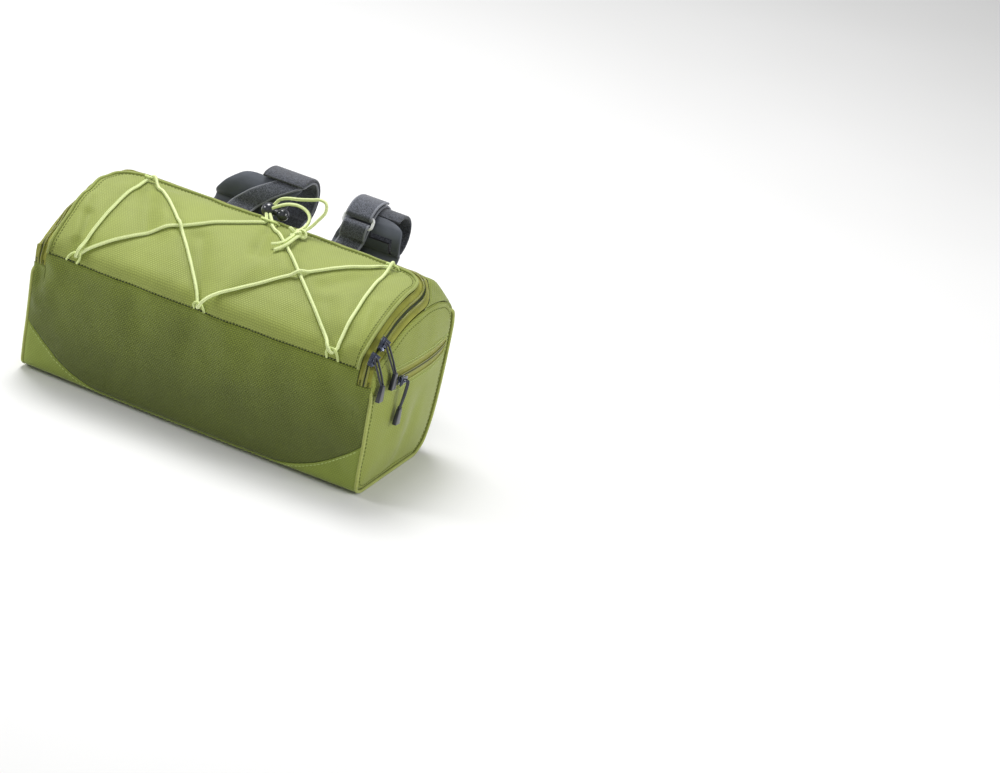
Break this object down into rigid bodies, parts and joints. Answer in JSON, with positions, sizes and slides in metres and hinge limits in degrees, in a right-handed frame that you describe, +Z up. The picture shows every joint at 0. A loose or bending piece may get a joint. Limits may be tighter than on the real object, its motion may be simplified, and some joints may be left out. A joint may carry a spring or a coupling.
{
  "type": "handlebar bag",
  "caption": "Barrel-shaped cloth handlebar bag with a zipped lid, a crossed elastic lace on top, a zipped end pocket and bar straps behind.",
  "frame": {"origin": "the floor under the middle of the flat base, halfway between the bag's ends", "axes": "+X along the bag to the viewer's right, where the pocket zip is; -Y out of the front panel; +Y towards the bar; +Z up"},
  "size_m": [0.3331, 0.2313, 0.1895],
  "materials": {
    "lid_cloth": "matt fine ripstop nylon",
    "front_cloth": "matt fine ripstop nylon",
    "base_cloth": "matt fine ripstop nylon",
    "back_cloth": "matt fine ripstop nylon",
    "end_cloth": "matt fine ripstop nylon",
    "zip_tape": "woven zip tape",
    "zip_coil": "nylon coil",
    "piping": "corded piping",
    "lace": "braided elastic cord",
    "loops": "thin cord",
    "sliders": "dark enamel",
    "pull_cords": "thin dark cord",
    "pull_tabs": "moulded",
    "lock": "smooth moulded",
    "pads": "smooth and dark",
    "cuffs": "rough pile",
    "straps": "rough pile webbing",
    "ring": "pale smooth plastic"
  },
  "bodies": {
    "root": {"lid_panel": "lid_cloth", "front_panel": "front_cloth", "bottom_panel": "base_cloth", "back_panel": "back_cloth", "end_panel_left": "end_cloth", "end_panel_right": "end_cloth", "main_zip_tape": "zip_tape", "pocket_zip_tape": "zip_tape", "main_zip_coil": "zip_coil", "pocket_zip_coil": "zip_coil", "lid_binding": "piping", "end_piping_left": "piping", "end_piping_right": "piping", "elastic_lace": "lace", "lace_tail_upper": "lace", "lace_tail_lower": "lace", "lace_end_upper": "lace", "lace_end_lower": "lace", "lace_knot": "lace", "seam_loop_left": "loops", "seam_loop_middle": "loops", "seam_loop_right": "loops", "top_loop_left": "loops", "top_loop_middle": "loops", "top_loop_right": "loops", "main_slider_upper": "sliders", "main_slider_lower": "sliders", "pocket_slider": "sliders", "main_slider_upper_cord": "pull_cords", "main_slider_lower_cord": "pull_cords", "pocket_slider_cord": "pull_cords", "main_slider_upper_tab": "pull_tabs", "main_slider_lower_tab": "pull_tabs", "pocket_slider_tab": "pull_tabs", "cord_lock": "lock", "bar_pad_left": "pads", "bar_pad_right": "pads", "bar_cuff_left": "cuffs", "bar_cuff_right": "cuffs", "bar_strap_left": "straps", "bar_strap_right": "straps", "ring_strap": "straps", "strap_ring": "ring"}
  },
  "joints": []
}
